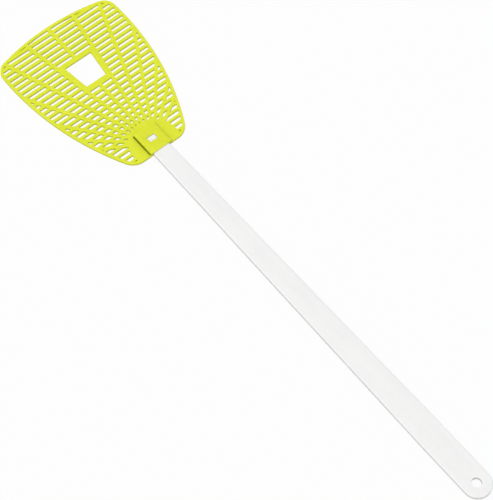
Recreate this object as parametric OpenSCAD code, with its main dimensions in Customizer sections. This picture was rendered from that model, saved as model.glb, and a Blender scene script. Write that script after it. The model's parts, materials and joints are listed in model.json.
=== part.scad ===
// Manual fly swatter: a slotted flat head that is pushed onto the tongue of a flat bar handle.
// Millimetres. The origin is the hang hole's centre at the underside, +Y points to the head's tip
// and +Z points out of the front face.

/* [Handle] */
// Distance from the hang hole's centre to the lower edge of the head
handle_reach = 309; // [250:0.1:360]
// Width of the parallel grip around the hang hole
grip_w = 19.8; // [18:0.1:24]
// Length of the parallel grip, from the hang hole's centre
grip_len = 40; // [20:1:80]
// Width of the handle where it meets the head
neck_w = 13.6; // [13.4:0.1:15]
// Thickness of the handle
handle_t = 3; // [2.8:0.1:3.2]
// Diameter of the hang hole
hang_d = 6.7; // [4:0.1:9]
// Distance of the rounded end's centre below the hang hole's centre
end_drop = 0.3; // [0:0.1:2]

/* [Tongue and latch finger] */
// Length of the tongue inside the head's pocket
tongue_len = 16.9; // [16.5:0.1:17.2]
// Width of the tongue
tongue_w = 13.4; // [13.2:0.1:13.6]
// Height of the step under the tongue, which leaves room for the pocket's floor
tongue_step = 0.8; // [0.7:0.05:1]
// Height of the tongue's top above the underside
tongue_top = 2.7; // [2.6:0.1:2.8]
// Width of the springy finger cut out of the tongue
finger_w = 7; // [6.4:0.1:8]
// Thickness of the finger
finger_t = 0.8; // [0.6:0.1:0.9]
// Distance from the head's lower edge to the finger's root
finger_root = 3.2; // [2:0.1:4]
// Distance from the head's lower edge to the finger's free end
finger_tip = 12.6; // [12:0.1:13.2]
// Width of the slit around the finger
finger_slit = 0.8; // [0.6:0.1:1]
// Height of the latch nub above the tongue
nub_h = 0.85; // [0.6:0.05:1]
// Play between the nub and its window, on each side
nub_play = 0.2; // [0.15:0.05:0.4]
// Length of the ramp that lets the nub slide into the pocket
nub_ramp = 1; // [0.5:0.1:2]

/* [Head outline] */
// Length of the head
head_len = 125.6; // [115:0.1:135]
// Greatest width of the head
head_w = 97.2; // [90:0.1:105]
// Thickness of the head's plate
plate_t = 1.8; // [1.6:0.1:2.2]
// Height of the greatest width above the head's lower edge
widest_y = 101.5; // [98:0.5:106]
// Radius of the curved sides
side_r = 206.5; // [200:0.5:230]
// Radius of the curved tip
tip_r = 168; // [120:1:220]
// Radius of the two corners at the tip
tip_corner_r = 10; // [6:0.1:12]
// Radius of the two corners at the handle's end
base_corner_r = 12.3; // [8:0.1:14]

/* [Slots and ribs] */
// Distance from one row of slots to the next
row_pitch = 4.44; // [4:0.01:5]
// Height of the slots in the lowest row
slot_h = 2.6; // [2.2:0.1:2.8]
// Height of the slots in the highest row
slot_h_tip = 2.1; // [1.8:0.1:2.6]
// Height of the lowest row's centre above the head's lower edge
first_row = 2.5; // [2.3:0.01:3]
// Width of the plain rim around the sides and the tip
rim_w = 2; // [1.8:0.1:3]
// Width of the plain rim along the lower edge
base_rim = 3; // [2.6:0.1:4]
// Height above the lower edge of the point that the ribs spread from
rib_origin = 6.9; // [5:0.1:10]
// Angle from one rib to the next
rib_step = 9.9; // [8:0.1:12]
// Number of ribs on each side of the middle rib
ribs_per_side = 6; // [4:1:6]
// Width of a rib where the ribs spread from
rib_w_root = 2.1; // [1.8:0.1:3]
// Width of a rib at the tip of the head
rib_w_tip = 2.5; // [2.2:0.1:4]
// Radius of the plain disc that the ribs grow out of
root_r = 18; // [16:0.1:20]

/* [Large window] */
// Height of the window's lower edge above the head's lower edge
window_y0 = 70.1; // [68:0.1:71]
// Height of the window's upper edge above the head's lower edge
window_y1 = 91; // [89:0.1:91.5]
// Half the angle between the window's sides
window_half_angle = 7.55; // [5:0.05:8]
// Lowest row that the plain panel around the window covers
panel_row0 = 15; // [15:1:15]
// Highest row that the panel covers
panel_row1 = 20; // [20:1:20]

/* [Pocket] */
// Width of the pocket's roof, which overhangs the side channels
pocket_w = 17.2; // [17:0.1:18]
// Outside length of the pocket
pocket_len = 19.1; // [18:0.1:20]
// Height of the pocket's roof above the underside
pocket_h = 3.8; // [3.7:0.1:4.2]
// Play between the tongue and the pocket, on each side
tongue_play = 0.1; // [0.05:0.05:0.15]
// Play beside the tongue
side_play = 0.2; // [0.1:0.05:0.4]
// Width by which the mouth flares beyond the tongue's slot, on each side
mouth_flare = 0.4; // [0:0.1:0.4]
// Depth of the flare
mouth_depth = 1.5; // [0.5:0.1:2.5]
// Thickness of the pocket's side walls, between the cavity and a side channel
side_wall = 0.8; // [0.8:0.1:0.8]
// Distance from the middle to the outer edge of a side channel, which lightens the roof
channel_x = 9.3; // [9:0.1:10]
// Thickness of the roof's overhanging edges
lip_t = 0.5; // [0.4:0.1:0.8]
// Width of the small window in the roof
latch_w = 6.4; // [5.5:0.1:6.5]
// Length of the small window along the handle
latch_l = 4.4; // [4:0.1:5]
// Height of the small window's centre above the head's lower edge
latch_y = 9.9; // [9.4:0.1:10.2]

/* [Hidden] */

$fn = 96;
// Number of straight pieces in a drawn arc
ARC = 12;
// Length by which a cutting body runs past the face that it cuts
OVER = 1;

white = [0.93, 0.94, 0.94];
lime = [0.87, 0.9, 0.22];

cavity_w = tongue_w + 2 * side_play;
cavity_z0 = tongue_step - tongue_play;
cavity_z1 = tongue_top + tongue_play;
cavity_end = tongue_len + 3 * tongue_play;
finger_z0 = tongue_top - finger_t;

half_w = head_w / 2;
side_c = [half_w - side_r, widest_y];
tip_c = [0, head_len - tip_r];
rib_c = [0, rib_origin];
row_count = floor((head_len - rim_w - first_row + slot_h_tip / 2) / row_pitch) + 1;

// Points along an arc about c from angle a0 to angle a1
function arc(c, r, a0, a1, n = ARC) =
    [for (i = [0:n]) let (a = a0 + (a1 - a0) * i / n) c + r * [cos(a), sin(a)]];

// The direction from point p to point q
function bearing(p, q) = atan2(q[1] - p[1], q[0] - p[0]);

// The upper right point that lies r1 from c1 and r2 from c2
function meet(c1, r1, c2, r2) =
    let (d = norm(c2 - c1), u = (c2 - c1) / d, a = (r1 * r1 - r2 * r2 + d * d) / (2 * d))
    c1 + a * u + sqrt(r1 * r1 - a * a) * [-u[1], u[0]];

function mirrored(pts) = [for (i = [len(pts) - 1:-1:0]) [-pts[i][0], pts[i][1]]];

function row_y(i) = first_row + i * row_pitch;

// The slots get lower by the same amount from row to row
function row_h(i) = slot_h + (slot_h_tip - slot_h) * i / (row_count - 1);

// Half the width of a wedge of half angle a at height y, about the ribs' origin
function wedge_x(a, y) = tan(a) * (y - rib_origin);

// The head's outline, moved in by d: lower corner, side, upper corner and tip of the right half
function outline_right(d) =
    let (tip_corner = meet(side_c, side_r - tip_corner_r, tip_c, tip_r - tip_corner_r),
         base_rise = side_c[1] - base_corner_r,
         base_reach = sqrt(pow(side_r - base_corner_r, 2) - base_rise * base_rise),
         base_corner = [side_c[0] + base_reach, base_corner_r],
         a_base = bearing(side_c, base_corner),
         a_side = bearing(side_c, tip_corner),
         a_tip = bearing(tip_c, tip_corner))
    concat(arc(base_corner, base_corner_r - d, -90, a_base),
           arc(side_c, side_r - d, a_base, a_side, 2 * ARC),
           arc(tip_corner, tip_corner_r - d, a_side, a_tip),
           arc(tip_c, tip_r - d, a_tip, 90));

module head_outline(d = 0) {
    right = outline_right(d);
    polygon(concat(right, mirrored(right)));
}

// A flat piece between two heights of a wedge about the ribs' origin
module wedge(a, y0, y1) {
    polygon([[-wedge_x(a, y0), y0], [wedge_x(a, y0), y0], [wedge_x(a, y1), y1], [-wedge_x(a, y1), y1]]);
}

module rows() {
    for (i = [0:row_count - 1])
        translate([-half_w, row_y(i) - row_h(i) / 2]) square([head_w, row_h(i)]);
}

module rib(a) {
    translate(rib_c) rotate(a)
        polygon([[-rib_w_root / 2, 0], [rib_w_root / 2, 0],
                 [rib_w_tip / 2, head_len], [-rib_w_tip / 2, head_len]]);
}

module slots() {
    difference() {
        intersection() {
            rows();
            head_outline(rim_w);
        }
        for (i = [-ribs_per_side:ribs_per_side]) rib(i * rib_step);
        translate(rib_c) circle(r = root_r);
        translate([-root_r, 0]) square([2 * root_r, rib_origin]);
        translate([-half_w, 0]) square([head_w, base_rim]);
        wedge(rib_step, row_y(panel_row0) - row_pitch / 2, row_y(panel_row1) + row_pitch / 2);
    }
}

module plate() {
    linear_extrude(plate_t) difference() {
        head_outline();
        slots();
        wedge(window_half_angle, window_y0, window_y1);
    }
}

module cavity() {
    half = cavity_w / 2;
    mouth_half = half + mouth_flare;
    translate([0, 0, cavity_z0]) linear_extrude(cavity_z1 - cavity_z0)
        polygon([[-mouth_half, -OVER], [mouth_half, -OVER], [mouth_half, 0], [half, mouth_depth],
                 [half, cavity_end], [-half, cavity_end], [-half, mouth_depth], [-mouth_half, 0]]);
}

// Blind channels under the roof's overhanging edges, open at the mouth like the cavity
module side_channels() {
    inner = cavity_w / 2 + side_wall;
    for (side = [0, 1]) mirror([side, 0, 0])
        translate([inner, -OVER, cavity_z0])
            cube([channel_x - inner, pocket_len + OVER, pocket_h - lip_t - cavity_z0]);
}

module swatter_head() {
    color(lime) translate([0, handle_reach, 0]) difference() {
        union() {
            plate();
            translate([-pocket_w / 2, 0, 0]) cube([pocket_w, pocket_len, pocket_h]);
        }
        cavity();
        side_channels();
        translate([-latch_w / 2, latch_y - latch_l / 2, cavity_z0])
            cube([latch_w, latch_l, pocket_h]);
    }
}

module handle_outline() {
    half = grip_w / 2;
    polygon(concat(arc([0, -end_drop], half, 180, 360, 4 * ARC),
                   [[half, grip_len], [neck_w / 2, handle_reach],
                    [-neck_w / 2, handle_reach], [-half, grip_len]]));
}

module handle() {
    slot_w = finger_w + 2 * finger_slit;
    slot_l = finger_tip + finger_slit - finger_root;
    color(white) difference() {
        union() {
            linear_extrude(handle_t) handle_outline();
            translate([-tongue_w / 2, handle_reach - OVER, tongue_step])
                cube([tongue_w, tongue_len + OVER, tongue_top - tongue_step]);
        }
        translate([0, 0, -OVER]) cylinder(h = handle_t + 2 * OVER, d = hang_d);
        translate([-slot_w / 2, handle_reach + finger_root, 0]) cube([slot_w, slot_l, handle_t + OVER]);
    }
}

// The springy finger and its nub, whose ramp faces the head's tip
module latch_finger() {
    nub_w = latch_w - 2 * nub_play;
    nub_y0 = latch_y - latch_l / 2 + nub_play;
    nub_y1 = latch_y + latch_l / 2 - nub_play;
    top = tongue_top + nub_h;
    color(white) translate([0, handle_reach, 0]) {
        translate([-finger_w / 2, finger_root, finger_z0])
            cube([finger_w, finger_tip - finger_root, finger_t]);
        translate([-nub_w / 2, 0, 0]) rotate([90, 0, 90]) linear_extrude(nub_w)
            polygon([[nub_y0, finger_z0 + finger_t / 2], [nub_y1, finger_z0 + finger_t / 2],
                     [nub_y1, top - nub_h / 2], [nub_y1 - nub_ramp, top], [nub_y0, top]]);
    }
}

handle();
latch_finger();
swatter_head();
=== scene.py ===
"""Looks of a manual fly swatter: a slotted lime head pushed onto the tongue of a flat white handle.

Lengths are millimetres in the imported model's frame and become metres when a piece is placed.
A contour is a function: given how far to move into the material, it returns a closed loop of
points, counter-clockwise, and always the same number of them.
"""
import json
import math

import bmesh
import bpy
from mathutils import Matrix, Vector
from mathutils.geometry import delaunay_2d_cdt


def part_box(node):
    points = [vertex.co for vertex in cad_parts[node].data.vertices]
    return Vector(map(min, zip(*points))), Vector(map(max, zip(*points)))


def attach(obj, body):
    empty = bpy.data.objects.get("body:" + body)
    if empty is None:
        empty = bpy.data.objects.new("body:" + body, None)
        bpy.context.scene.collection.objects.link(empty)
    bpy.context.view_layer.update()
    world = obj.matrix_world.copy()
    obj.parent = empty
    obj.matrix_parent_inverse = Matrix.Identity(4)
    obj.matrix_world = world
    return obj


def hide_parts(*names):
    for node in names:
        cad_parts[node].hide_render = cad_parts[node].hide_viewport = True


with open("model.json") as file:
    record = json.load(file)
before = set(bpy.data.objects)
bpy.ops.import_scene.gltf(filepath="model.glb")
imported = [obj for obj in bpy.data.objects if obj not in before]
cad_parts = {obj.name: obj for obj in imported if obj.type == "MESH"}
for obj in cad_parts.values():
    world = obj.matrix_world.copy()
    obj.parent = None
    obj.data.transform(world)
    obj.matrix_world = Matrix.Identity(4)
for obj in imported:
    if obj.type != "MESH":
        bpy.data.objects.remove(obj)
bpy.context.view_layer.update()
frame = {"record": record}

MM = 0.001


def box_mm(node):
    low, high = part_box(node)
    return low / MM, high / MM


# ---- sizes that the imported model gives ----
handle_low, handle_high = box_mm("handle")
head_low, head_high = box_mm("swatter_head")
finger_low, finger_high = box_mm("latch_finger")

REACH = head_low.y  # from the hang hole to the head's lower edge
HEAD_LEN = head_high.y - head_low.y
HEAD_W = head_high.x - head_low.x
POCKET_H = head_high.z
HANDLE_T = handle_high.z
GRIP_W = handle_high.x - handle_low.x
END_DROP = -handle_low.y - GRIP_W / 2
TONGUE_END = handle_high.y
HANG_R = next(m for m in frame["record"]["mounts"] if m["name"] == "hang_hole")["dims"]["r_mm"]

# ---- sizes of the handle and its latch, as in the CAD part ----
GRIP_LEN = 40
NECK_W = 13.6
TONGUE_W = 13.4
TONGUE_Z = (0.8, 2.7)
SHOULDER = 2
FINGER_SLIT = 0.8
FINGER_ROOT = 0.2  # how far the finger runs into the tongue
NUB_PLAY = 0.2
NUB_RAMP = 1
NUB_ROOT = 0.4  # how far the nub runs into the finger

# ---- sizes of the head, measured up from its lower edge ----
PLATE_T = 1.8
WIDEST_Y = 101.5
SIDE_R = 206.5
TIP_R = 168
TIP_CORNER_R = 10
BASE_CORNER_R = 12.3
ROW_PITCH = 4.44
ROWS = 28
FIRST_ROW = 2.5
SLOT_H = 2.6
SLOT_H_TIP = 2.1
RIM_W = 2
BASE_RIM = 3
RIB_ORIGIN = 6.9
RIB_STEP = math.radians(9.9)
RIBS_PER_SIDE = 6
RIB_W_ROOT = 2.1
RIB_W_TIP = 2.5
ROOT_R = 18
WINDOW_Y0 = 70.1
WINDOW_Y1 = 91
WINDOW_ANGLE = math.radians(7.55)
PANEL_ROWS = range(15, 21)
POCKET_W = 17.2
POCKET_LEN = 19.1
CAVITY_W = 13.8
CAVITY_END = 17.2
CAVITY_Z = (0.7, 2.8)
MOUTH_FLARE = 0.4
MOUTH_DEPTH = 1.5
CHANNEL_X = (7.7, 9.3)
CHANNEL_Z = (0.7, 3.3)
LATCH_W = 6.4
LATCH_L = 4.4
LATCH_Y = 9.9

# ---- corners seen from above ----
SLOT_CORNERS = (0.35, 0.25, 0.16, 0.1, 0.06)  # radii to choose from
SLOT_KEPT = 0.9  # share of a slot's length that its corners may not round away
WINDOW_CORNER = 0.5
POCKET_CORNER = 0.5
CHANNEL_CORNER = 0.2
LATCH_CORNER = 0.5
TONGUE_CORNER = 1.5
FINGER_CORNER = 0.4

# ---- edge roundings of the mouldings ----
SLOT_EDGE = 0.16
RIM_EDGE = 0.35
BOTTOM_EDGE = 0.05
HANDLE_EDGE = 0.9
HANDLE_BOTTOM_EDGE = 0.4
HOLE_EDGE = 0.25
POCKET_EDGE = 0.15
NUB_EDGE = 0.2
CORNER_STEP = math.radians(30)  # turn of a rounded corner from point to point
SHARP = math.radians(40)  # steeper edges are shaded sharp
NEAR = 0.01  # points nearer than this are one point
OVER = 1  # how far a cutting tool runs past what it cuts


# ---- flat geometry ----
def arc(centre, radius, start, end, steps):
    """Points along an arc, its last point left out."""
    angles = [start + (end - start) * i / steps for i in range(steps)]
    return [centre + radius * Vector((math.cos(a), math.sin(a))) for a in angles]


def mirrored(points):
    return [Vector((-p.x, p.y)) for p in reversed(points)]


def clip(points, normal, limit):
    """What is left of a convex polygon where the distance along normal is at most limit."""
    kept = []
    for a, b in zip(points, points[1:] + points[:1]):
        from_a, from_b = a.dot(normal) - limit, b.dot(normal) - limit
        if from_a <= 0:
            kept.append(a)
        if from_a * from_b < 0:
            kept.append(a + (b - a) * (from_a / (from_a - from_b)))
    return kept


def without_doubles(points):
    return [p for i, p in enumerate(points) if (p - points[i - 1]).length > NEAR]


def side_normal(a, b):
    """The direction out of a counter-clockwise polygon across its side from a to b."""
    return Vector((b.y - a.y, a.x - b.x)).normalized()


def moved_in(points, distance):
    """A convex polygon with all its sides moved in."""
    inner = points
    for a, b in zip(points, points[1:] + points[:1]):
        normal = side_normal(a, b)
        inner = clip(inner, normal, a.dot(normal) - distance)
    return without_doubles(inner)


def rounded(points, radius, hole):
    """The contour of a convex polygon with rounded corners, or None where it is too narrow."""
    centres = moved_in(without_doubles(points), radius)
    if len(centres) < 3:
        return None
    spokes = []
    for i, centre in enumerate(centres):
        before = side_normal(centres[i - 1], centre)
        after = side_normal(centre, centres[(i + 1) % len(centres)])
        start = math.atan2(before.y, before.x)
        turn = (math.atan2(after.y, after.x) - start) % math.tau
        steps = round(turn / CORNER_STEP)
        shares = [k / steps for k in range(steps + 1)] if steps else [0.5]
        spokes += [(centre, start + turn * share) for share in shares]

    def contour(inset):
        reach = radius + inset if hole else radius - inset
        return [c + reach * Vector((math.cos(a), math.sin(a))) for c, a in spokes]

    return contour


def rectangle(x0, x1, y0, y1):
    return [Vector((x0, y0)), Vector((x1, y0)), Vector((x1, y1)), Vector((x0, y1))]


def circle(radius, steps):
    """The contour of a round hole about the origin."""
    return lambda inset: arc(Vector((0, 0)), radius + inset, 0, math.tau, steps)


def raised(contour, y):
    """The same contour moved along the handle."""
    return lambda inset: [Vector((p.x, p.y + y)) for p in contour(inset)]


# ---- the head's outline and slots ----
def meet(c1, r1, c2, r2):
    """The upper right point that lies r1 from c1 and r2 from c2."""
    gap = c2 - c1
    along = (r1 * r1 - r2 * r2 + gap.length_squared) / (2 * gap.length)
    unit = gap.normalized()
    return c1 + along * unit + math.sqrt(r1 * r1 - along * along) * Vector((-unit.y, unit.x))


def bearing(a, b):
    return math.atan2(b.y - a.y, b.x - a.x)


def head_outline(inset):
    """The head's contour: bowed sides and tip, a straight lower edge and four round corners."""
    side_c = Vector((HEAD_W / 2 - SIDE_R, WIDEST_Y))
    tip_c = Vector((0, HEAD_LEN - TIP_R))
    tip_corner = meet(side_c, SIDE_R - TIP_CORNER_R, tip_c, TIP_R - TIP_CORNER_R)
    base_rise = side_c.y - BASE_CORNER_R
    base_reach = math.sqrt((SIDE_R - BASE_CORNER_R) ** 2 - base_rise**2)
    base_corner = Vector((side_c.x + base_reach, BASE_CORNER_R))
    a_base = bearing(side_c, base_corner)
    a_side = bearing(side_c, tip_corner)
    a_tip = bearing(tip_c, tip_corner)
    right = arc(base_corner, BASE_CORNER_R - inset, -math.pi / 2, a_base, steps=14)
    right += arc(side_c, SIDE_R - inset, a_base, a_side, steps=40)
    right += arc(tip_corner, TIP_CORNER_R - inset, a_side, a_tip, steps=12)
    right += arc(tip_c, TIP_R - inset, a_tip, math.pi / 2, steps=24)
    top = Vector((0, HEAD_LEN - inset))
    return right + [top] + mirrored(right)


def row_y(i):
    """The height of a row's middle; the rows count up from the handle."""
    return FIRST_ROW + i * ROW_PITCH


def row_h(i):
    return SLOT_H + (SLOT_H_TIP - SLOT_H) * i / (ROWS - 1)


def rib_edge(number, side):
    """A rib's tapered edge, as a point on it and the direction across it, towards +X."""
    angle = number * RIB_STEP
    along = Vector((math.sin(angle), math.cos(angle)))
    across = Vector((math.cos(angle), -math.sin(angle)))
    root = Vector((0, RIB_ORIGIN)) + across * side * RIB_W_ROOT / 2
    tip = Vector((0, RIB_ORIGIN)) + along * HEAD_LEN + across * side * RIB_W_TIP / 2
    return root, side_normal(root, tip)


def beyond_root_disc(points, cell, low, high):
    """Cuts off what lies in the plain disc that the ribs grow out of."""
    if cell < RIBS_PER_SIDE:
        angle = (cell + 0.5) * RIB_STEP
        outward = Vector((math.sin(angle), math.cos(angle)))
        return clip(points, -outward, -ROOT_R - RIB_ORIGIN * outward.y)
    heights = [max(y - RIB_ORIGIN, 0) for y in (low, high)]
    if min(heights) >= ROOT_R:
        return points
    a, b = [Vector((math.sqrt(max(ROOT_R**2 - h * h, 0)), h + RIB_ORIGIN)) for h in heights]
    if (b - a).length < NEAR:
        return clip(points, Vector((-1, 0)), -a.x)
    inward = -side_normal(a, b)
    return clip(points, inward, a.dot(inward))


def slot_polygon(row, cell, rim):
    """One slot on the right side, between two ribs and inside the rim, as a convex polygon."""
    low = max(row_y(row) - row_h(row) / 2, BASE_RIM)
    high = row_y(row) + row_h(row) / 2
    points = rectangle(0, HEAD_W / 2, low, high)
    root, across = rib_edge(cell, 1)
    points = clip(points, -across, -root.dot(across))
    if cell < RIBS_PER_SIDE:
        root, across = rib_edge(cell + 1, -1)
        points = clip(points, across, root.dot(across))
    points = beyond_root_disc(points, cell, low, high)
    for a, b in zip(rim, rim[1:] + rim[:1]):
        normal = side_normal(a, b)
        points = clip(points, normal, a.dot(normal))
    return points


def x_extent(points):
    return max(p.x for p in points) - min(p.x for p in points)


def slot_contour(points):
    """The slot with the roundest corners that keep nearly all of its length, or None."""
    found = None
    for radius in SLOT_CORNERS:
        contour = rounded(points, radius, hole=True)
        if contour:
            found = contour
            if x_extent(contour(0)) > SLOT_KEPT * x_extent(points):
                break
    return found


def slots():
    """The contours of every slot."""
    rim = head_outline(RIM_W)
    found = []
    for row in range(ROWS):
        for cell in range(RIBS_PER_SIDE + 1):
            if cell == 0 and row in PANEL_ROWS:
                continue
            points = slot_polygon(row, cell, rim)
            if len(points) > 2:
                found += [slot_contour(points), slot_contour(mirrored(points))]
    return [contour for contour in found if contour]


def window():
    """The large window's contour: a wedge that spreads with the ribs."""
    low, high = [math.tan(WINDOW_ANGLE) * (y - RIB_ORIGIN) for y in (WINDOW_Y0, WINDOW_Y1)]
    points = [
        Vector((-low, WINDOW_Y0)),
        Vector((low, WINDOW_Y0)),
        Vector((high, WINDOW_Y1)),
        Vector((-high, WINDOW_Y1)),
    ]
    return rounded(points, WINDOW_CORNER, hole=True)


# ---- solids ----
def wall(low, high, low_edge, high_edge, steps=3):
    """A wall's profile from its foot to its top, as (inset, height) pairs with rounded edges."""
    turns = [math.pi / 2 * i / steps for i in range(steps + 1)]
    foot = [(low_edge * (1 - math.sin(a)), low + low_edge * (1 - math.cos(a))) for a in turns]
    top = [(high_edge * (1 - math.cos(a)), high - high_edge * (1 - math.sin(a))) for a in turns]
    return (foot if low_edge else [(0, low)]) + (top if high_edge else [(0, high)])


def filled(loops, points):
    """Triangles between loops of point numbers: the outer loop first, then convex holes."""
    order = [i for loop in loops for i in loop]
    rank = {number: i for i, number in enumerate(order)}
    owner = {number: hole for hole, loop in enumerate(loops) for number in loop}
    sides = [(rank[a], rank[b]) for loop in loops for a, b in zip(loop, loop[1:] + loop[:1])]
    inside_only = 1
    tolerance = 1e-6
    flat = [points[i].to_2d() for i in order]
    _, _, made, sources, *_ = delaunay_2d_cdt(flat, sides, [], inside_only, tolerance)
    triangles = [tuple(order[sources[i][0]] for i in triangle) for triangle in made]
    holes = [{owner[i] for i in triangle} for triangle in triangles]
    return [t for t, on in zip(triangles, holes) if len(on) > 1 or 0 in on]


def make_solid(name, walls):
    """A closed solid from (contour, profile) pairs: the outer wall first, then those of holes."""
    points, faces = [], []
    foot_loops, top_loops = [], []
    for contour, profile in walls:
        rings = []
        for inset, z in profile:
            loop = contour(inset)
            rings.append(list(range(len(points), len(points) + len(loop))))
            points += [Vector((p.x, p.y, z)) for p in loop]
        for lower, upper in zip(rings, rings[1:]):
            for i in range(len(lower)):
                faces.append((lower[i - 1], lower[i], upper[i], upper[i - 1]))
        foot_loops.append(rings[0])
        top_loops.append(rings[-1])
    wall_faces = len(faces)
    for loops in (foot_loops, top_loops):
        faces += filled(loops, points)
    mesh = bpy.data.meshes.new(name)
    mesh.from_pydata(points, [], faces)
    mesh.polygons.foreach_set("use_smooth", [i < wall_faces for i in range(len(faces))])
    shell = bmesh.new()
    shell.from_mesh(mesh)
    bmesh.ops.recalc_face_normals(shell, faces=shell.faces)
    shell.to_mesh(mesh)
    shell.free()
    made = bpy.data.objects.new(name, mesh)
    bpy.context.scene.collection.objects.link(made)
    return made


def combine(target, tool, operation):
    """Joins tool to target, or cuts it out, and removes tool."""
    step = target.modifiers.new(operation, "BOOLEAN")
    step.operation = operation
    step.solver = "EXACT"
    step.object = tool
    depsgraph = bpy.context.evaluated_depsgraph_get()
    made = bpy.data.meshes.new_from_object(target.evaluated_get(depsgraph))
    target.modifiers.clear()
    target.data = made
    bpy.data.objects.remove(tool)


def make_head():
    """The head in one moulding: the slotted plate, and the pocket that holds the tongue."""
    plate_wall = wall(0, PLATE_T, BOTTOM_EDGE, RIM_EDGE)
    slot_wall = wall(0, PLATE_T, BOTTOM_EDGE, SLOT_EDGE)
    walls = [(raised(head_outline, REACH), plate_wall)]
    walls += [(raised(hole, REACH), slot_wall) for hole in [window(), *slots()]]
    head = make_solid("head_moulding", walls)

    half = POCKET_W / 2
    block = rounded(rectangle(-half, half, 0, POCKET_LEN), POCKET_CORNER, hole=False)
    inside_plate = CAVITY_Z[0] / 2
    block_wall = wall(inside_plate, POCKET_H, 0, POCKET_EDGE)
    combine(head, make_solid("block", [(raised(block, REACH), block_wall)]), "UNION")

    inner, mouth = CAVITY_W / 2, CAVITY_W / 2 + MOUTH_FLARE
    flare = [
        Vector((mouth, -OVER)),
        Vector((mouth, 0)),
        Vector((inner, MOUTH_DEPTH)),
        Vector((inner, CAVITY_END)),
    ]
    hollow = raised(lambda inset: flare + mirrored(flare), REACH)
    combine(head, make_solid("hollow", [(hollow, wall(*CAVITY_Z, 0, 0))]), "DIFFERENCE")

    channel = rectangle(*CHANNEL_X, -OVER, POCKET_LEN)
    for shape in (channel, mirrored(channel)):
        loop = raised(rounded(shape, CHANNEL_CORNER, hole=True), REACH)
        combine(head, make_solid("channel", [(loop, wall(*CHANNEL_Z, 0, 0))]), "DIFFERENCE")

    opening = rectangle(-LATCH_W / 2, LATCH_W / 2, LATCH_Y - LATCH_L / 2, LATCH_Y + LATCH_L / 2)
    opening_loop = raised(rounded(opening, LATCH_CORNER, hole=True), REACH)
    opening_wall = wall(TONGUE_Z[0], POCKET_H, 0, SLOT_EDGE) + [(SLOT_EDGE, POCKET_H + OVER)]
    combine(head, make_solid("opening", [(opening_loop, opening_wall)]), "DIFFERENCE")
    return head


def handle_outline(inset):
    """The handle's contour: a round end, a tapering bar, and the tongue beyond its shoulders."""
    half = GRIP_W / 2
    corner = Vector((TONGUE_W / 2 - TONGUE_CORNER, TONGUE_END - TONGUE_CORNER))
    end = arc(Vector((0, -END_DROP)), half - inset, math.pi, math.tau, steps=64)
    right = [
        Vector((half - inset, -END_DROP)),
        Vector((half - inset, GRIP_LEN)),
        Vector((NECK_W / 2 - inset, REACH - SHOULDER)),
        Vector((TONGUE_W / 2 - inset, REACH)),
    ]
    right += arc(corner, TONGUE_CORNER - inset, 0, math.pi / 2, steps=6)
    right.append(Vector((corner.x, TONGUE_END - inset)))
    return end[1:] + right + mirrored(right)


def make_handle():
    """The bar with its hang hole, the slit round the finger, and the thinner tongue."""
    slot_half = (finger_high.x - finger_low.x) / 2 + FINGER_SLIT
    cut = rectangle(-slot_half, slot_half, finger_low.y, finger_high.y + FINGER_SLIT)
    bar_wall = wall(0, HANDLE_T, HANDLE_BOTTOM_EDGE, HANDLE_EDGE, steps=6)
    hole_wall = wall(0, HANDLE_T, BOTTOM_EDGE, HOLE_EDGE, steps=4)
    cut_wall = wall(0, HANDLE_T, BOTTOM_EDGE, SLOT_EDGE)
    handle = make_solid(
        "handle_moulding",
        [
            (handle_outline, bar_wall),
            (circle(HANG_R, steps=64), hole_wall),
            (rounded(cut, FINGER_CORNER, hole=True), cut_wall),
        ],
    )
    beyond = rectangle(-GRIP_W, GRIP_W, REACH, TONGUE_END + OVER)
    for low, high in ((-OVER, TONGUE_Z[0]), (TONGUE_Z[1], HANDLE_T + OVER)):
        step = make_solid("step", [(lambda inset: beyond, wall(low, high, 0, 0))])
        combine(handle, step, "DIFFERENCE")
    return handle


def make_finger():
    """The springy finger and its nub, whose ramp faces the head's tip."""
    half = (finger_high.x - finger_low.x) / 2
    blade = rectangle(-half, half, finger_low.y - FINGER_ROOT, finger_high.y)
    blade_loop = rounded(blade, FINGER_CORNER, hole=False)
    blade_wall = wall(finger_low.z, TONGUE_Z[1], BOTTOM_EDGE, BOTTOM_EDGE)
    finger = make_solid("latch_finger_moulding", [(blade_loop, blade_wall)])

    nub_half = LATCH_W / 2 - NUB_PLAY
    nub_y0 = REACH + LATCH_Y - LATCH_L / 2 + NUB_PLAY
    nub_y1 = REACH + LATCH_Y + LATCH_L / 2 - NUB_PLAY
    nub_top = finger_high.z
    ramp_z = (TONGUE_Z[1] + nub_top) / 2
    nub_wall = [(0, TONGUE_Z[1] - NUB_ROOT)] + wall(ramp_z, nub_top, 0, NUB_EDGE)
    nub_loop = rounded(rectangle(-nub_half, nub_half, nub_y0, nub_y1), FINGER_CORNER, hole=False)
    nub = make_solid("nub", [(nub_loop, nub_wall)])
    for vertex in nub.data.vertices:
        share = max(vertex.co.z - ramp_z, 0) / (nub_top - ramp_z)
        vertex.co.y -= (vertex.co.y - nub_y0) / (nub_y1 - nub_y0) * NUB_RAMP * share
    combine(finger, nub, "UNION")
    return finger


# ---- materials ----
# Waves per metre of each pattern, and the depth in metres of those that stand out.
CLOUD_WAVES = 38
STREAK_WAVES = 260
SCUFF_WAVES = 900
GRAIN_WAVES = 5200
RIPPLE_WAVES = 110
SHEEN_WAVES = 600
LONG_STREAKS = (1, 0.06, 1)
LONG_SCUFFS = (1, 0.05, 1)
RIPPLE_DEPTH = 0.00008
GRAIN_DEPTH = 0.00002
SCUFF_DEPTH = 0.00001
SCUFF_ROUGHNESS = 0.12  # what a scuff adds to the roughness


def node(tree, kind, **settings):
    made = tree.nodes.new(kind)
    for name, value in settings.items():
        setattr(made, name, value)
    return made


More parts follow.
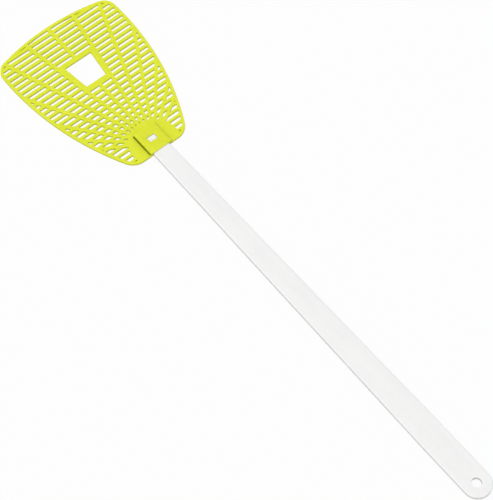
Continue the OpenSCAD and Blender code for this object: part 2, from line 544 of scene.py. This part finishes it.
def noise(tree, coordinates, waves, detail, stretch=(1, 1, 1)):
    """A noise pattern in object space, drawn out along an axis where stretch is under 1."""
    mapping = node(tree, "ShaderNodeMapping")
    mapping.inputs["Scale"].default_value = stretch
    tree.links.new(coordinates, mapping.inputs["Vector"])
    texture = node(tree, "ShaderNodeTexNoise")
    texture.inputs["Scale"].default_value = waves
    texture.inputs["Detail"].default_value = detail
    tree.links.new(mapping.outputs["Vector"], texture.inputs["Vector"])
    return texture.outputs["Fac"]


def spread(tree, value, low, high, to_low=0.0, to_high=1.0):
    """Maps value from low..high to to_low..to_high, clamped."""
    made = node(tree, "ShaderNodeMapRange", clamp=True)
    made.inputs["From Min"].default_value = low
    made.inputs["From Max"].default_value = high
    made.inputs["To Min"].default_value = to_low
    made.inputs["To Max"].default_value = to_high
    tree.links.new(value, made.inputs["Value"])
    return made.outputs["Result"]


def mixed(tree, share, a, b):
    """A colour mixed from a to b, each a colour or a socket."""
    made = node(tree, "ShaderNodeMix", data_type="RGBA")
    tree.links.new(share, made.inputs["Factor"])
    for name, value in (("A", a), ("B", b)):
        socket = next(s for s in made.inputs if s.name == name and s.type == "RGBA")
        if isinstance(value, tuple):
            socket.default_value = (*value, 1)
        else:
            tree.links.new(value, socket)
    return next(s for s in made.outputs if s.type == "RGBA")


def bumped(tree, height, strength, distance, below=None):
    """A bumped normal, on top of the bumps below."""
    made = node(tree, "ShaderNodeBump")
    made.inputs["Strength"].default_value = strength
    made.inputs["Distance"].default_value = distance
    tree.links.new(height, made.inputs["Height"])
    if below:
        tree.links.new(below, made.inputs["Normal"])
    return made.outputs["Normal"]


def moulded_plastic(name, tone, shade, pale, roughness, glow, depth):
    """Satin moulded plastic: cloudy pigment, flow streaks, fine grain and hairline scuffs."""
    material = bpy.data.materials.new(name)
    material.use_nodes = True
    tree = material.node_tree
    shader = tree.nodes["Principled BSDF"]
    place = node(tree, "ShaderNodeTexCoord").outputs["Object"]

    clouds = noise(tree, place, CLOUD_WAVES, detail=3)
    clouds = spread(tree, clouds, 0.35, 0.7)
    streaks = noise(tree, place, STREAK_WAVES, detail=2, stretch=LONG_STREAKS)
    streaks = spread(tree, streaks, 0.45, 0.75, to_high=0.6)
    scuffs = noise(tree, place, SCUFF_WAVES, detail=4, stretch=LONG_SCUFFS)
    scuffs = spread(tree, scuffs, 0.66, 0.72, to_high=0.7)
    grain = noise(tree, place, GRAIN_WAVES, detail=2)
    ripple = noise(tree, place, RIPPLE_WAVES, detail=2)

    colour = mixed(tree, clouds, tone, shade)
    colour = mixed(tree, streaks, colour, pale)
    tree.links.new(colour, shader.inputs["Base Color"])
    sheen = noise(tree, place, SHEEN_WAVES, detail=4)
    sheen = spread(tree, sheen, 0.3, 0.7, roughness - 0.06, roughness + 0.08)
    scuffed = node(tree, "ShaderNodeMath", operation="MULTIPLY_ADD")
    tree.links.new(scuffs, scuffed.inputs[0])
    scuffed.inputs[1].default_value = SCUFF_ROUGHNESS
    tree.links.new(sheen, scuffed.inputs[2])
    tree.links.new(scuffed.outputs["Value"], shader.inputs["Roughness"])
    surface = bumped(tree, ripple, 0.25, RIPPLE_DEPTH)
    surface = bumped(tree, grain, 0.35, GRAIN_DEPTH, surface)
    surface = bumped(tree, scuffs, 0.3, SCUFF_DEPTH, surface)
    tree.links.new(surface, shader.inputs["Normal"])
    shader.inputs["IOR"].default_value = 1.49
    shader.inputs["Specular IOR Level"].default_value = 0.3
    shader.inputs["Subsurface Weight"].default_value = 0.5
    shader.inputs["Subsurface Radius"].default_value = glow
    shader.inputs["Subsurface Scale"].default_value = depth
    return material


def within(tree, value, low, high):
    """1 where value, in metres, is from low to high, in millimetres, and 0 elsewhere."""
    made = node(tree, "ShaderNodeMath", operation="COMPARE")
    tree.links.new(value, made.inputs[0])
    made.inputs[1].default_value = (low + high) / 2 * MM
    made.inputs[2].default_value = (high - low) / 2 * MM + NEAR * MM
    return made.outputs["Value"]


def product(tree, a, b):
    """a times b, each a socket or a float."""
    made = node(tree, "ShaderNodeMath", operation="MULTIPLY")
    for socket, value in zip(made.inputs, (a, b)):
        if isinstance(value, float):
            socket.default_value = value
        else:
            tree.links.new(value, socket)
    return made.outputs["Value"]


def paint_channel_shade(material, tone, share):
    """Painted shade: mixes a darker tone into the inside of the pocket's narrow side channels,
    where shade falls in the deep recess.
    """
    tree = material.node_tree
    colour = tree.nodes["Principled BSDF"].inputs["Base Color"]
    clean = colour.links[0].from_socket
    place = node(tree, "ShaderNodeSeparateXYZ")
    tree.links.new(node(tree, "ShaderNodeTexCoord").outputs["Object"], place.inputs["Vector"])
    aside = node(tree, "ShaderNodeMath", operation="ABSOLUTE")
    tree.links.new(place.outputs["X"], aside.inputs[0])
    beside = within(tree, aside.outputs["Value"], *CHANNEL_X)
    along = within(tree, place.outputs["Y"], REACH + MOUTH_DEPTH, REACH + POCKET_LEN)
    deep = within(tree, place.outputs["Z"], *CHANNEL_Z)
    # painted shade: 1 inside the side channels, where the darker tone stands in for their shade
    channel_shade_mask = product(tree, product(tree, beside, along), product(tree, deep, share))
    tree.links.new(mixed(tree, channel_shade_mask, clean, tone), colour)


def place_piece(piece, body, cad_node, material):
    """Brings a piece to metres, gives it its plastic and puts it on its body."""
    piece.data.transform(Matrix.Scale(MM, 4))
    piece.data.materials.clear()
    piece.data.materials.append(material)
    piece.data.set_sharp_from_angle(angle=SHARP)
    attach(piece, body)
    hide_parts(cad_node)


# ---- stage ----
def make_floor():
    """A white floor that looks bright and casts a weaker light back onto the swatter."""
    half = 6
    level = -0.0001
    grey = 0.08
    cast_light = 0.38
    seen_light = 0.9
    mesh = bpy.data.meshes.new("floor")
    corners = [(-half, -half), (half, -half), (half, half), (-half, half)]
    mesh.from_pydata([(x, y, level) for x, y in corners], [], [(0, 1, 2, 3)])
    floor = bpy.data.objects.new("floor", mesh)
    bpy.context.scene.collection.objects.link(floor)
    material = bpy.data.materials.new("floor_white")
    material.use_nodes = True
    tree = material.node_tree
    tree.nodes.remove(tree.nodes["Principled BSDF"])
    plain = node(tree, "ShaderNodeBsdfDiffuse")
    plain.inputs["Color"].default_value = (grey, grey, grey, 1)
    shine = node(tree, "ShaderNodeEmission")
    seen = node(tree, "ShaderNodeLightPath").outputs["Is Camera Ray"]
    tree.links.new(spread(tree, seen, 0, 1, cast_light, seen_light), shine.inputs["Strength"])
    both = node(tree, "ShaderNodeAddShader")
    tree.links.new(plain.outputs["BSDF"], both.inputs[0])
    tree.links.new(shine.outputs["Emission"], both.inputs[1])
    tree.links.new(both.outputs["Shader"], tree.nodes["Material Output"].inputs["Surface"])
    mesh.materials.append(material)


def make_light():
    """Even light from all around, and a wide soft key from above the handle's left."""
    scene = bpy.context.scene
    scene.view_settings.view_transform = "Standard"
    scene.view_settings.look = "None"
    world = bpy.data.worlds.new("studio")
    scene.world = world
    world.use_nodes = True
    background = world.node_tree.nodes["Background"]
    background.inputs["Color"].default_value = (1, 1, 1, 1)
    background.inputs["Strength"].default_value = 0.78
    key = bpy.data.lights.new("key", "SUN")
    key.energy = 1.1
    key.angle = math.radians(60)
    lamp = bpy.data.objects.new("key", key)
    to_lamp = Vector((-0.45, 0.1, 0.89))
    lamp.rotation_mode = "QUATERNION"
    lamp.rotation_quaternion = to_lamp.to_track_quat("Z", "Y")
    scene.collection.objects.link(lamp)


def make_camera():
    """The photograph's view: from above the hang hole's left, the head at the upper left."""
    place = Vector((-0.44409, -0.25444, 1.19207))
    target = Vector((-0.00453, 0.21512, 0))
    up_hint = Vector((0.5553, 0.6834, 0.4740))
    data = bpy.data.cameras.new("camera")
    data.sensor_width = 36
    data.lens = 149.6
    camera = bpy.data.objects.new("camera", data)
    back = (place - target).normalized()
    right = up_hint.cross(back).normalized()
    up = back.cross(right)
    turn = Matrix((right, up, back)).transposed().to_4x4()
    camera.matrix_world = Matrix.Translation(place) @ turn
    bpy.context.scene.collection.objects.link(camera)
    bpy.context.scene.camera = camera


lime = moulded_plastic(
    "lime_plastic",
    tone=(0.7, 0.75, 0.026),
    shade=(0.67, 0.72, 0.02),
    pale=(0.73, 0.78, 0.036),
    roughness=0.42,
    glow=(1, 1, 0.2),
    depth=0.002,
)
white = moulded_plastic(
    "white_plastic",
    tone=(0.83, 0.83, 0.825),
    shade=(0.81, 0.81, 0.81),
    pale=(0.85, 0.85, 0.84),
    roughness=0.45,
    glow=(1, 1, 1),
    depth=0.001,
)
# painted shade: a dark lime laid into the pocket's side channels where shade falls
paint_channel_shade(lime, tone=(0.2, 0.22, 0.005), share=0.62)

place_piece(make_head(), "head", "swatter_head", lime)
place_piece(make_handle(), "handle", "handle", white)
place_piece(make_finger(), "handle", "latch_finger", white)
make_floor()
make_light()
make_camera()
